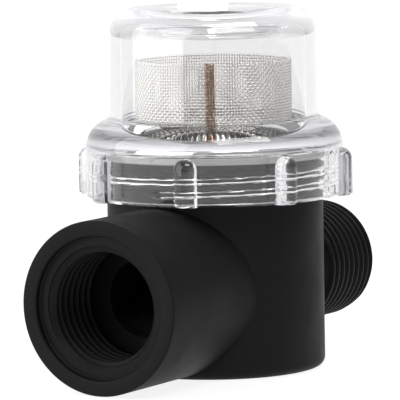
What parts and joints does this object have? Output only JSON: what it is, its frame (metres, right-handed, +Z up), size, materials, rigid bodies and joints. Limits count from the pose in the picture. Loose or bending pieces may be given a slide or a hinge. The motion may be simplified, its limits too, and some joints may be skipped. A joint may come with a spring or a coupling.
{
  "type": "sea water strainer",
  "caption": "In-line pump strainer with a black tee-shaped body, a clear screw-on cover and a woven steel screen, half-inch male and female pipe ports.",
  "frame": {"origin": "Middle of the flat base, under the barrel's axis, on the surface that the part stands on.", "axes": "+Z is up, along the barrel, the screen and the cover. +X is along the pipe line, towards the male outlet port; the female inlet port is at -X."},
  "size_m": [0.079, 0.0468, 0.0628],
  "materials": {
    "black_nylon": "moulded, matte",
    "stainless_mesh": "woven wire, bright, heat-tinted at the weld",
    "silicone": "translucent, satin",
    "clear_polycarbonate": "clear, polished"
  },
  "bodies": {
    "body": {"strainer_body": "black_nylon", "screen": "stainless_mesh"},
    "seal": {"cover_gasket": "silicone"},
    "cover": {"clear_cover": "clear_polycarbonate"}
  },
  "joints": [
    {"name": "cover_lift", "type": "slide", "parent": "body", "child": "seal", "axis": [0, 0, 1], "range_m": [0, 0.00495]},
    {"name": "cover_turn", "type": "hinge", "parent": "seal", "child": "cover", "pos_m": [0, 0, 0.0301], "axis": [0, 0, 1], "range_deg": [0, 810]}
  ],
  "couplings": [
    {"joint": "cover_lift", "follows": "cover_turn", "m_per_rad": 0.00035014}
  ]
}
